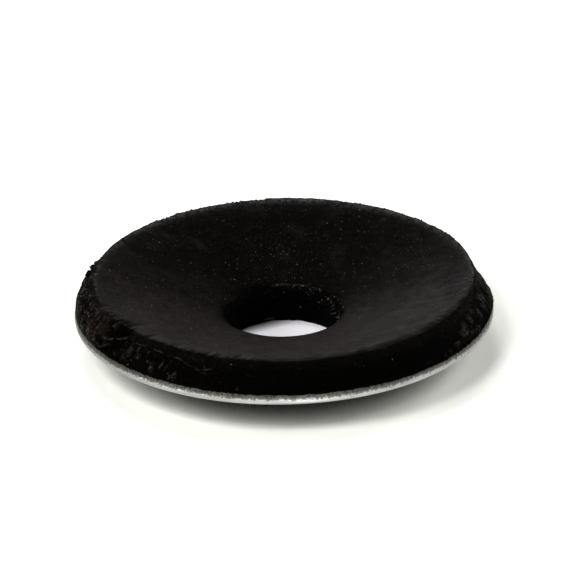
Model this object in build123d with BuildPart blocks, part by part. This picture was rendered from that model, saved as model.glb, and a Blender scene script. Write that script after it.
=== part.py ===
from build123d import *
from math import atan2, cos, degrees, hypot, radians, sin, tan
import os

# Bonded sealing washer, lying rubber side up on the rolled edge of its bore.
# The origin is the centre of the bore on the ground, and +Z runs up the bore. Millimetres and degrees.

# Bore: the rubber lines the metal, and the lining is what the screw passes through
bore_diameter = 8.4
lining_thickness = 0.35

# Metal washer: a blanked disc, dished into a shallow cone that is concave on the rubber's side
outer_diameter = 32.0
sheet_thickness = 0.8
dish_angle = 14.9            # slope of the cone
die_roll = 0.12              # edge that blanking draws down on the convex side
burnish_height = 0.42        # smooth sheared part of the rim's edge, measured square to the sheet
fracture_setback = 0.05      # how far the broken part above it leans in

# Rubber seal: a pad on the concave side, with a lining that runs down through the bore
seal_face_diameter = 28.9    # across the upper rim of the pad
pad_thickness = 2.15         # square to the sheet, where the lip starts
face_angle = 16.8            # slope of the face, a little steeper than the metal
lip_radius = 0.9             # roll of the face into the bore
rim_wear = 0.1               # bevel worn on the upper rim
lining_end_height = 0.1      # the lining stops this far above the ground
edge_ledge = 0.08            # strip of metal left bare around the foot of the pad

# Torn side of the wall, at angles counted from +X. A swell of torn rubber ends in a tongue.
swell_angle = 192.0
swell_half_span = 23.0       # how much of the wall the swell covers on each side
swell_reach = 0.38           # past the sheared wall, at its middle
swell_shoulder = 0.25        # from the upper rim down to the top of the swell
swell_clearance = 0.02       # between the foot of the swell and the sheet
tongue_angle = 209.0
tongue_width = 1.0
tongue_length = 1.7
tongue_rise = 1.0            # middle of the tongue, up the wall from its foot

# Beside the tongue a pocket is torn out under the rim, and a ragged ridge runs on from its lower edge.
pocket_angle = 216.0
pocket_radius = 0.95
pocket_depth = 0.4
pocket_drop = 0.62           # middle of the pocket, down from the upper rim
ridge_line = ((212, 1.12), (218, 0.9), (225, 0.45), (232, 0.5), (240, 1.0), (246, 0.85), (252, 1.1))
undercut_depth = 0.32        # torn out under the ridge
undercut_height = 0.95
shelf_depth = 0.18           # torn out above the ridge
shelf_height = 0.35
tear_root = 0.2              # where a tear is deepest, as a share of its height from the ridge

# Chips out of the upper rim, each with its angle and its size
rim_chips = ((2, 0.34), (9, 0.22), (38, 0.25), (128, 0.28), (171, 0.3), (224, 0.26), (291, 0.2))
chip_corners = 5

os.makedirs("parts", exist_ok=True)

# --- Section of the sheet ----------------------------------------------------
# The washer stands on the edge of its bore. There and at the rim the sharp corner that the die roll
# replaces lies outside the finished section: under the ground, and past the outer diameter.
slope = radians(dish_angle)
seal_bore_radius = bore_diameter / 2
metal_bore_radius = seal_bore_radius + lining_thickness
corner_excess = die_roll * sin(slope)
sheet_length = (outer_diameter / 2 + corner_excess - metal_bore_radius) / cos(slope)


def on_sheet(along, above):
    """Radius and height of a point of the section, given along the slope and square to it."""
    radius = metal_bore_radius + along * cos(slope) - above * sin(slope)
    height = along * sin(slope) + above * cos(slope) - corner_excess
    return (radius, height)


def sheet_top(radius):
    """Height of the sheet's upper side at a radius."""
    return (radius - metal_bore_radius) * tan(slope) + sheet_thickness / cos(slope) - corner_excess


bore_foot = (metal_bore_radius, -corner_excess)
bore_top = (metal_bore_radius, sheet_top(metal_bore_radius))
rim_foot = on_sheet(sheet_length, 0)
rim_break = on_sheet(sheet_length, burnish_height)
rim_top = on_sheet(sheet_length - fracture_setback, sheet_thickness)

# --- Metal washer ------------------------------------------------------------
# Pierced straight down after dishing. The blanked edge is burnished below and broken above.
with BuildPart() as metal_washer:
    with BuildSketch(Plane.XZ):
        with BuildLine():
            Polyline(bore_foot, rim_foot, rim_break, rim_top, bore_top, close=True)
        section = make_face()
        convex_side = section.edges().sort_by(SortBy.LENGTH)[-1]
        chamfer(convex_side.vertices(), die_roll)
    revolve(axis=Axis.Z)

# --- Section of the seal -----------------------------------------------------
face_slope = radians(face_angle)
face_radius = seal_face_diameter / 2
lip_start_radius = seal_bore_radius + lip_radius * (1 - sin(face_slope))
lip_start_height = sheet_top(lip_start_radius) + pad_thickness / cos(slope)
lip_end_height = lip_start_height - lip_radius * cos(face_slope)
face_height = lip_start_height + (face_radius - lip_start_radius) * tan(face_slope)
foot_radius = rim_top[0] - edge_ledge
foot_height = sheet_top(foot_radius)
wall_lean = atan2(foot_radius - face_radius, face_height - foot_height)
wall_length = hypot(foot_radius - face_radius, face_height - foot_height)
wall_middle_radius = (foot_radius + face_radius) / 2
wall_middle_height = (foot_height + face_height) / 2


def on_wall(angle, drop):
    """Plane on the sheared wall, a drop down from its upper rim, with X facing out and Z up the wall."""
    outward = Vector(1, 0, 0).rotate(Axis.Z, angle)
    upward = Vector(0, 0, 1)
    up_wall = upward * cos(wall_lean) - outward * sin(wall_lean)
    off_wall = outward * cos(wall_lean) + upward * sin(wall_lean)
    origin = outward * face_radius + upward * face_height - up_wall * drop
    return Plane(origin=origin, x_dir=off_wall, z_dir=up_wall)


def across_wall(angle, drop):
    """The same place, on a plane that cuts the wall upright: X faces out and Y runs up the wall."""
    place = on_wall(angle, drop)
    return Plane(origin=place.origin, x_dir=place.x_dir, z_dir=-place.y_dir)


# The swell is turned about an axis of its own, moved towards the torn side, so that it grows out of the
# wall at one end of its span and dies into it at the other.
span = radians(swell_half_span)
swell_shift = swell_reach * (swell_reach + 2 * wall_middle_radius)
swell_shift /= 2 * (wall_middle_radius * (1 - cos(span)) + swell_reach)
swell_turn = atan2(wall_middle_radius * sin(span), wall_middle_radius * cos(span) - swell_shift)
swell_centre = Vector(swell_shift, 0, 0).rotate(Axis.Z, swell_angle)
swell_start = Vector(1, 0, 0).rotate(Axis.Z, swell_angle - degrees(swell_turn))
swell_plane = Plane(origin=swell_centre, x_dir=swell_start, z_dir=swell_start.cross(Vector(0, 0, 1)))
swell_foot = (foot_radius - swell_shift, foot_height + swell_clearance)
swell_middle = (wall_middle_radius + swell_reach - swell_shift, wall_middle_height)
swell_top = (face_radius - swell_shift + swell_reach / 2, face_height - swell_shoulder)
swell_root = (face_radius - swell_shift - swell_reach, wall_middle_height)

# --- Rubber seal -------------------------------------------------------------
with BuildPart() as rubber_seal:
    with BuildSketch(Plane.XZ):
        with BuildLine():
            lining_foot = Line((metal_bore_radius, lining_end_height), (seal_bore_radius, lining_end_height))
            throat = Line(lining_foot @ 1, (seal_bore_radius, lip_end_height))
            lip = RadiusArc(throat @ 1, (lip_start_radius, lip_start_height), lip_radius)
            face = Line(lip @ 1, (face_radius, face_height))
            Polyline(face @ 1, (foot_radius, foot_height), bore_top, lining_foot @ 0)
        make_face()
    revolve(axis=Axis.Z)
    chamfer(rubber_seal.edges().group_by(Axis.Z)[-1], rim_wear)

    # Swell of torn rubber
    with BuildSketch(swell_plane):
        with BuildLine():
            ThreePointArc(swell_foot, swell_middle, swell_top)
            Polyline(swell_top, swell_root, swell_foot)
        make_face()
    revolve(axis=Axis(swell_centre, (0, 0, 1)), revolution_arc=2 * degrees(swell_turn))

    # Tongue at the end of the swell: half an ellipse turned about its long axis, which runs up the wall
    tongue_plane = across_wall(tongue_angle, wall_length - tongue_rise)
    with BuildSketch(tongue_plane):
        Ellipse(tongue_width / 2, tongue_length / 2)
        Rectangle(tongue_width, tongue_length, align=(Align.MAX, Align.CENTER), mode=Mode.SUBTRACT)
    revolve(axis=Axis(tongue_plane.origin, tongue_plane.y_dir))

    # Undercut below the ridge, then the shallower shelf above it
    for depth, height in ((undercut_depth, -undercut_height), (shelf_depth, shelf_height)):
        for ridge_angle, ridge_drop in ridge_line:
            with BuildSketch(across_wall(ridge_angle, ridge_drop)):
                with BuildLine():
                    Polyline((depth, 0), (-depth, tear_root * height), (depth, height), close=True)
                make_face()
        loft(ruled=True, mode=Mode.SUBTRACT)

    # Pocket beside the tongue
    pocket_wall = on_wall(pocket_angle, pocket_drop)
    with Locations(pocket_wall.origin + pocket_wall.x_dir * (pocket_radius - pocket_depth)):
        Sphere(pocket_radius, mode=Mode.SUBTRACT)

    # Chips along the upper rim
    for chip_angle, chip_size in rim_chips:
        with BuildSketch(on_wall(chip_angle, 0)):
            RegularPolygon(chip_size, chip_corners)
        extrude(amount=chip_size, both=True, mode=Mode.SUBTRACT)

metal_washer.part.label = "metal_washer"
export_step(metal_washer.part, "parts/metal_washer.step")
rubber_seal.part.label = "rubber_seal"
export_step(rubber_seal.part, "parts/rubber_seal.step")
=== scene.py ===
from math import cos, hypot, pi, radians, sin, tan

import bpy
import numpy as np
from mathutils import Matrix, Vector


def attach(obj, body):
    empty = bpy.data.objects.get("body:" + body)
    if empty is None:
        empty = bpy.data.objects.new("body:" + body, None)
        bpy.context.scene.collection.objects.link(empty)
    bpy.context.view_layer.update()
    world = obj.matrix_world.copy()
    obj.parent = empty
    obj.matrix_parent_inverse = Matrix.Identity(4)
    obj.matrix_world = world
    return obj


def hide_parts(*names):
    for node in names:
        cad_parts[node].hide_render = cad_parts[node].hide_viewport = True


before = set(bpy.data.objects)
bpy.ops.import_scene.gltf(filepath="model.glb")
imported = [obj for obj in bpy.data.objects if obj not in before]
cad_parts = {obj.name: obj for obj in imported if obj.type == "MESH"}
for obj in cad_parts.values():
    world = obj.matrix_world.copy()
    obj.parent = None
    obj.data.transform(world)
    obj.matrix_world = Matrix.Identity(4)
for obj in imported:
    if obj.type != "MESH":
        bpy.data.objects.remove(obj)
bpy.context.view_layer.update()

# ---- Metal washer ----
# A disc blanked from 0.8 mm stainless sheet and pressed into a shallow cone, which carries the rubber.
# The press tool rolls its lower edge, shears a smooth bright band above that, and breaks the rest away
# rough. Those bands show all round the rim, with burr grains along the line where they meet.
mm = 0.001
outer_radius = 16.0
metal_bore_radius = 4.55
sheet_thickness = 0.8
dish_slope = radians(14.9)
die_roll = 0.12
burnish_height = 0.285
fracture_setback = 0.05
metal_columns = 900

corner_excess = die_roll * sin(dish_slope)
sheet_length = (outer_radius + corner_excess - metal_bore_radius) / cos(dish_slope)


def on_sheet(along, above):
    """Radius and height in the sheet's section, from lengths along the slope and square to it."""
    radius = metal_bore_radius + along * cos(dish_slope) - above * sin(dish_slope)
    height = along * sin(dish_slope) + above * cos(dish_slope) - corner_excess
    return np.array([radius, height])


cell_numbers = 8192


def cell_number(cell):
    """A number below cell_numbers for each cell of a grid, with no pattern to it."""
    key = cell * np.array([73856093, 19349663, 83492791])
    return (key[..., 0] ^ key[..., 1] ^ key[..., 2]) & (cell_numbers - 1)


def grain(points, size, seed, upright=1):
    """Smooth lumps of about one size in millimetres, from -1 to 1, and taller where upright is under 1."""
    heights = np.random.default_rng(seed).random(cell_numbers) * 2 - 1
    place = points * np.array([1, 1, upright]) / size
    low = np.floor(place).astype(np.int64)
    share = place - low
    share = share * share * (3 - 2 * share)
    total = 0
    for corner in np.ndindex(2, 2, 2):
        step = np.array(corner[::-1])
        weight = np.where(step == 1, share, 1 - share).prod(-1)
        total = total + heights[cell_number(low + step)] * weight
    return total


def pebbles(points, size, seed):
    """Rounded granules of about one size, packed together: 1 on top of each and 0 between them."""
    offsets = np.random.default_rng(seed).random((cell_numbers, 3))
    place = points / size
    low = np.floor(place).astype(np.int64)
    nearest = np.full(place.shape[:-1], 9.0)
    for step in np.ndindex(3, 3, 3):
        cell = low + np.array(step) - 1
        centre = cell + offsets[cell_number(cell)]
        nearest = np.minimum(nearest, ((place - centre) ** 2).sum(-1))
    return np.clip(1 - nearest * 1.6, 0, 1)


def around(angle, radius, height):
    """Points in millimetres at angles round the axis."""
    radius, height, angle = np.broadcast_arrays(radius, height, angle)
    return np.stack([radius * np.cos(angle), radius * np.sin(angle), height], -1)


def grids(rows, columns):
    """Each value of a list of rows as a grid, spread round where a row has one number for it."""
    return [np.array([np.broadcast_to(v, columns) for v in values], float) for values in zip(*rows)]


def fading(distance, width):
    """1 at no distance, fading away over a width."""
    return np.exp(-(distance / width) ** 2)


def add_object(name, data):
    """A new object in the scene, at the origin."""
    made = bpy.data.objects.new(name, data)
    bpy.context.scene.collection.objects.link(made)
    return made


def carry(mesh, masks):
    """Stores masks on a mesh, each with a value from 0 to 1 at each point."""
    for mask, values in masks.items():
        layer = mesh.attributes.new(mask, "FLOAT", "POINT")
        layer.data.foreach_set("value", np.clip(values, 0, 1).astype(np.float32).ravel())


def turned_mesh(name, points, masks):
    """Closed mesh of rows of a section, carried round the axis in columns, with its masks."""
    rows, columns = points.shape[:2]
    index = np.arange(rows * columns).reshape(rows, columns)
    beside = np.roll(index, -1, 1)
    above = np.roll(index, -1, 0)
    faces = np.stack([index, beside, np.roll(above, -1, 1), above], -1).reshape(-1, 4)
    mesh = bpy.data.meshes.new(name)
    mesh.from_pydata((points.reshape(-1, 3) * mm).tolist(), [], faces.tolist())
    carry(mesh, masks)
    mesh.shade_smooth()
    return add_object(name, mesh)


def curved(start, pull, end, share):
    """Point at a share of the way along a curve from start to end, drawn towards pull."""
    return start * (1 - share) ** 2 + 2 * pull * share * (1 - share) + end * share ** 2


def rounded(start, corner, end, steps):
    """Points of a worn corner, from start to end, drawn halfway towards the sharp one."""
    share = np.linspace(0, 1, steps)[:, None]
    return list(curved(start, ((start + end) / 2 + corner) / 2, end, share))


metal_angle = np.arange(metal_columns) * 2 * pi / metal_columns
rim_points = around(metal_angle, outer_radius, 0)
burnish_edge = burnish_height + 0.04 * grain(rim_points, 0.6, 11) + 0.035 * grain(rim_points, 0.16, 12)
nicks = 0.14 * np.clip(grain(rim_points, 0.24, 17) - 0.5, 0, 1)
burnish_edge += 0.03 * grain(rim_points, 4, 13) + nicks

# Up the bore and out along the underside
bore_foot = np.array([metal_bore_radius, -corner_excess])
bore_low = np.array([metal_bore_radius, die_roll - corner_excess])
bore_top = np.array([metal_bore_radius, on_sheet(0, sheet_thickness)[1]])
rim_low = on_sheet(sheet_length, die_roll)
section = [bore_low + (bore_top - bore_low) * t for t in (0.55, 0.25)]
section += rounded(bore_low, bore_foot, on_sheet(die_roll, 0), 5)
flat_length = sheet_length - 2 * die_roll
section += [on_sheet(die_roll + flat_length * t, 0) for t in np.linspace(0, 1, 26)[1:-1]]
section += rounded(on_sheet(sheet_length - die_roll, 0), on_sheet(sheet_length, 0), rim_low, 6)
metal_rows = [(*point, 0) for point in section]     # each row: radius, height, broken

# Sheared band, broken edge above it, and the upper side back to the bore
burr_setback, top_setback, least_setback = 0.012, 0.06, 0.004
edge_top = sheet_thickness - 0.02
for t in np.linspace(0, 1, 6)[1:]:
    point = on_sheet(sheet_length, die_roll + (burnish_edge - die_roll) * t)
    metal_rows.append((*point, 0.10 + 0.4 * max(0, t - 0.75)))
for t in np.linspace(0, 1, 10)[1:]:
    above = burnish_edge + (edge_top - burnish_edge) * t
    spot = around(metal_angle, outer_radius, above)
    rough = 0.022 * grain(spot, 0.2, 14) + 0.014 * grain(spot, 0.09, 15)
    along = sheet_length - burr_setback - fracture_setback * t - 0.03 * t ** 6
    along = along + rough * min(1, 4 * (1 - t) + 0.2)
    point = on_sheet(np.minimum(along, sheet_length - least_setback), above)
    metal_rows.append((*point, 0.25 + 0.50 * t + 0.25 * t ** 6))
for t in np.linspace(0, 1, 8)[:-1]:
    along = sheet_length - fracture_setback - top_setback - (sheet_length - fracture_setback) * t
    metal_rows.append((*on_sheet(along, sheet_thickness), 1 if t == 0 else 0.2))
metal_rows.append((*bore_top, 0.2))

metal_radius, metal_height, metal_broken = grids(metal_rows, metal_columns)
metal_points = around(metal_angle, metal_radius, metal_height)
# Painted shade: the metal is painted darker at the left and right ends of the rim, where it reflects less
# light.
at_right, at_left = np.abs(np.sin(metal_angle / 2 + 0.06)), np.abs(np.cos(metal_angle / 2 - 0.06))
painted_shade_at_ends = 0.8 * fading(at_right, 0.22) + 0.95 * fading(at_left, 0.26) + 0.1 * grain(rim_points, 1.5, 16)
metal_painted_shade = np.broadcast_to(painted_shade_at_ends, metal_points.shape[:2])
washer_metal = turned_mesh("washer_metal", metal_points, {"broken": metal_broken, "painted_end_shade": metal_painted_shade})


def plug(node, sockets):
    """Gives each named socket of a node a value, or another node's output."""
    for key, value in sockets.items():
        if isinstance(value, bpy.types.NodeSocket):
            node.id_data.links.new(value, node.inputs[key])
        else:
            node.inputs[key].default_value = value


def wire(kind, sockets, tree=None, **settings):
    """Outputs of a new node with settings of its own, in a tree or beside the sockets that it takes."""
    tree = tree or next(v.id_data for v in sockets.values() if isinstance(v, bpy.types.NodeSocket))
    made = tree.nodes.new(kind)
    for key, value in settings.items():
        setattr(made, key, value)
    plug(made, sockets)
    return made.outputs


def sums(operation, first, second=0, third=0, clamp=False):
    """Arithmetic on values and sockets."""
    sockets = {0: first, 1: second, 2: third}
    return wire("ShaderNodeMath", sockets, operation=operation, use_clamp=clamp)[0]


def times(first, second):
    """One value or socket times another."""
    return sums("MULTIPLY", first, second)


def vectors(operation, sockets):
    """Arithmetic on vectors. A length or a dot product gives a value, and the rest give a vector."""
    made = wire("ShaderNodeVectorMath", sockets, operation=operation)
    return made["Value" if operation in ("LENGTH", "DOT_PRODUCT") else "Vector"]


def blend(share, first, second):
    """A colour between two, by a mask."""
    return wire("ShaderNodeMix", {0: share, 6: first, 7: second}, data_type="RGBA")[2]


def ramp(value, low, high, start=0, end=1):
    """Spreads a value's range from low to high over start to end, held at both ends."""
    return wire("ShaderNodeMapRange", {0: value, 1: low, 2: high, 3: start, 4: end})[0]


def noise(place, scale, detail=2, **more):
    """Cloudy values about a half, with a scale in clouds per metre."""
    sockets = {"Vector": place, "Scale": scale, "Detail": detail, **more}
    return wire("ShaderNodeTexNoise", sockets)["Fac"]


def object_place(tree):
    """Place on the object, in metres."""
    return wire("ShaderNodeTexCoord", {}, tree)["Object"]


def stretched(place, scale, turn=(0, 0, 0)):
    """Place turned, and scaled along each axis."""
    return wire("ShaderNodeMapping", {"Vector": place, "Rotation": turn, "Scale": scale})[0]


def carried(tree, mask):
    """A mask that the mesh carries."""
    return wire("ShaderNodeAttribute", {}, tree, attribute_name=mask)["Fac"]


def effect(tree, group, **inputs):
    """What a shared effect gives, with its inputs set."""
    return wire("ShaderNodeGroup", inputs, tree, node_tree=group)[0]


def bumped(height, distance, **under):
    """Normal of the surface with a relief on it, its depth in metres."""
    sockets = {"Height": height, "Distance": distance, **under}
    return wire("ShaderNodeBump", sockets)[0]


def fresh_group(name, inputs, output):
    """A shader node group with its named sockets: the group, what its inputs give, and its end node."""
    group = bpy.data.node_groups.new(name, "ShaderNodeTree")
    for label, value in inputs.items():
        socket = group.interface.new_socket(label, in_out="INPUT", socket_type="NodeSocketFloat")
        socket.default_value = value
    group.interface.new_socket(output, in_out="OUTPUT", socket_type="NodeSocketFloat")
    return group, group.nodes.new("NodeGroupInput").outputs, group.nodes.new("NodeGroupOutput")


def finish_for(name):
    """An empty material: itself, its nodes, its Principled shader, and place on the object in metres."""
    made = bpy.data.materials.new(name)
    made.use_nodes = True
    tree = made.node_tree
    return made, tree, tree.nodes["Principled BSDF"], object_place(tree)


# Handling scratches, used on the metal and on the rubber: thin broken lines in three directions.
scratches, given, ending = fresh_group("scratches", {"Spacing": 0.0012, "Wear": 0.5}, "Lines")
place = object_place(scratches)
fineness = sums("DIVIDE", 1, given["Spacing"])
lines = 0.0
for turn, stretch in ((0.5, 0.025), (2.3, 0.03), (1.4, 0.02)):
    turned = stretched(place, (1, stretch, 1), (0.1, 0.05, turn))
    from_line = sums("SUBTRACT", noise(turned, fineness, 1), 0.5)
    thin = ramp(sums("ABSOLUTE", from_line), 0.004, 0)
    lines = sums("MAXIMUM", lines, thin)
kept = ramp(noise(place, 420), 0.62, 0.45)
plug(ending, {0: times(times(lines, kept), given["Wear"])})

sheet_finish, tree, shader, place = finish_for("stainless_sheet")
broken = carried(tree, "broken")
painted_end_shade = carried(tree, "painted_end_shade")
rolling = noise(stretched(place, (0.03, 1, 0.03)), 14000, 3)
drag = noise(stretched(place, (1, 1, 0.06)), 9000)
cloud = noise(place, 260, 4)
pits = noise(place, 7000, 3)
scratched = effect(tree, scratches, Spacing=0.0016, Wear=0.6)
clean = blend(ramp(cloud, 0.35, 0.7), (0.345, 0.35, 0.345, 1), (0.44, 0.445, 0.44, 1))
# The painted shade at the rim's ends darkens both bands there.
clean = blend(painted_end_shade, clean, (0.18, 0.176, 0.163, 1))
half_broken = blend(ramp(pits, 0.38, 0.62), (0.02, 0.0175, 0.014, 1), (0.108, 0.102, 0.089, 1))
half_broken = blend(painted_end_shade, half_broken, (0.026, 0.0235, 0.019, 1))
# The broken band darkens towards its top.
top_broken = blend(ramp(pits, 0.4, 0.7), (0.002, 0.0015, 0.001, 1), (0.04, 0.034, 0.026, 1))
ragged = sums("MULTIPLY_ADD", sums("SUBTRACT", pits, 0.5), 0.9, broken)
colour = blend(ramp(ragged, 0.14, 0.4), clean, half_broken)
colour = blend(ramp(ragged, 0.6, 0.84), colour, top_broken)
satin = sums("ADD", ramp(rolling, 0.3, 0.7, 0.27, 0.37), ramp(cloud, 0.4, 0.75, 0, 0.08))
satin = sums("ADD", satin, times(scratched, 0.15))
relief = sums("MULTIPLY_ADD", drag, 0.5, times(rolling, 0.35))
relief = sums("MULTIPLY_ADD", times(pits, broken), 3, relief)
relief = sums("SUBTRACT", relief, times(scratched, 0.8))
plug(shader, {
    "Base Color": colour,
    "Metallic": 1,
    "Roughness": sums("ADD", satin, times(broken, 0.3), clamp=True),
    "Normal": bumped(relief, 0.000006),
})

washer_metal.data.materials.append(sheet_finish)
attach(washer_metal, "root")
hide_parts("metal_washer")

# ---- Rubber seal ----
# Black EPDM moulded and bonded onto the hollow side of the disc, with a thin lining down through the
# bore. Its face is smooth moulded skin. The outer wall and the bore were cut, so they are matt and
# crumbly, and on one side the cut has torn: a swell of rubber, a pocket, and a ragged overhanging ridge.
seal_bore_radius = 4.2
face_radius = 14.45
face_slope = radians(16.8)
pad_thickness = 2.15
lip_radius = 0.9
edge_ledge = 0.08
lining_end = 0.1
bond_gap = 0.004
outer_limit = outer_radius - 0.015      # the rubber keeps inside the rim of the sheet


def sheet_top(radius):
    """Height of the sheet's upper side at a radius."""
    return bore_top[1] + (radius - metal_bore_radius) * tan(dish_slope)


def face_at(radius):
    """Height of the face at a radius."""
    return lip_start_height + (radius - lip_start_radius) * tan(face_slope)


lip_start_radius = seal_bore_radius + lip_radius * (1 - sin(face_slope))
lip_start_height = sheet_top(lip_start_radius) + pad_thickness / cos(dish_slope)
face_height = face_at(face_radius)
rim = np.array([face_radius, face_height])
foot_radius = on_sheet(sheet_length - fracture_setback, sheet_thickness)[0] - edge_ledge
foot = np.array([foot_radius, sheet_top(foot_radius)])
wall_length = hypot(*(foot - rim))
down_wall = (foot - rim) / wall_length
off_wall = np.array([-down_wall[1], down_wall[0]])
face_out = np.array([cos(face_slope), sin(face_slope)])

# Columns stand close together where the relief is fine: start, end and step of each stretch, in degrees.
stretches = ((160, 262, 0.22), (262, 322, 1), (322, 366, 0.3), (366, 520, 1.2))
seal_degrees = np.concatenate([np.arange(*stretch) for stretch in stretches]) % 360
seal_angle = np.radians(seal_degrees)
seal_columns = len(seal_angle)
seal_rim = around(seal_angle, face_radius, 0)


def by_angle(table, jitter=0, size=0.3, seed=1):
    """Value at each column from a table of (degrees, value), with a ragged part if asked."""
    value = np.interp(seal_degrees, *zip(*table), period=360)
    return value + jitter * grain(seal_rim, size, seed)


def by_drop(drop, table):
    """Value at each drop down the wall, from a table of (drop, value)."""
    return np.interp(drop, *zip(*table))


def degrees_from(middle, degrees):
    """Angles measured from a middle, the short way round."""
    return (degrees - middle + 180) % 360 - 180


def ease(value, low, high):
    """From 0 at low to 1 at high, smoothly."""
    share = np.clip((value - low) / (high - low), 0, 1)
    return share * share * (3 - 2 * share)


# The ridge: how far down the wall it runs, and how much is torn out above and below it.
ridge_drop = by_angle((
    (160, 1), (190, 1.3), (205, 1.7), (209, 1.75), (211.5, 1.45), (214.7, 1.05), (217.8, 0.68), (221, 0.62),
    (224, 0.68), (228, 0.52), (232, 0.62), (235, 0.79), (238.3, 0.68), (240.8, 0.9), (244.2, 1.18),
    (246, 1.22), (250, 1), (257, 1.1), (268, 1.7), (330, 1.7), (345, 1),
), 0.035, 0.28, 21)
shelf_depth = by_angle((
    (208, 0), (211, 0.02), (213, 0.12), (219, 0.14), (226, 0.16), (233, 0.18), (240, 0.2), (247, 0.1),
    (256, 0.03), (266, 0),
))
undercut_depth = by_angle((
    (207, 0), (210.5, 0.2), (213, 0.4), (217, 0.34), (222, 0.22), (227, 0.3), (236, 0.28), (246, 0.22),
    (253, 0.08), (264, 0),
))
crest_height = by_angle((
    (208, 0), (211.5, 0.1), (216, 0.12), (224, 0.08), (233, 0.1), (241, 0.12), (247, 0.08), (257, 0.03),
    (266, 0),
), 0.03, 0.25, 22)
crest_height *= by_angle(((207, 0), (210, 1), (250, 1), (268, 0)))

# The swell: how far it stands off the wall, by angle and then by drop, and where its right side ends.
swell_reach = by_angle((
    (160, 0), (165, 0.03), (167.2, 0.36), (171, 0.44), (180, 0.42), (190, 0.42), (200, 0.44), (208, 0.47),
    (212, 0.47), (216, 0.4), (220, 0),
))
swell_drop = (
    (0, 0), (0.12, 0.06), (0.35, 0.42), (0.8, 0.86), (1.4, 1), (2, 0.95), (2.3, 0.78), (2.48, 0.45),
    (2.6, 0.1),
)
swell_start = (
    (0, 0.1), (0.1, 0.25), (0.25, 0.75), (0.36, 0.85), (0.44, 0.6), (0.52, 0.95), (1.2, 0.95), (2, 0.7),
    (2.6, 0.35),
)
start_share = by_angle(((0, 0), (155, 1), (174, 1), (188, 0)))
swell_side = (
    (0, 207.5), (0.5, 209.6), (0.9, 210.7), (1.5, 211.4), (1.9, 211), (2.2, 210.2), (2.45, 209.3), (2.6, 207),
)

# The wall at the right bulges too, down to the edge of the sheet, and the rim flares a little.
bulge_reach = by_angle((
    (0, 0.2), (5, 0.11), (9, 0), (300, 0), (318, 0.1), (335, 0.24), (350, 0.33),
), 0.02, 0.8, 46)
bulge_drop = ((0, 0), (0.3, 0.02), (0.8, 0.22), (1.3, 0.6), (1.8, 0.95), (2.3, 1), (2.6, 0.8))
flare = by_angle((
    (0, 0.26), (5, 0.14), (11, 0.08), (20, 0.16), (28, 0.16), (50, 0.1), (70, 0.06), (85, 0.12), (95, 0.08),
    (105, 0), (130, 0.08), (158, 0.1), (180, 0.04), (200, 0), (342, 0), (350, 0.2), (356, 0.34),
))

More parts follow.
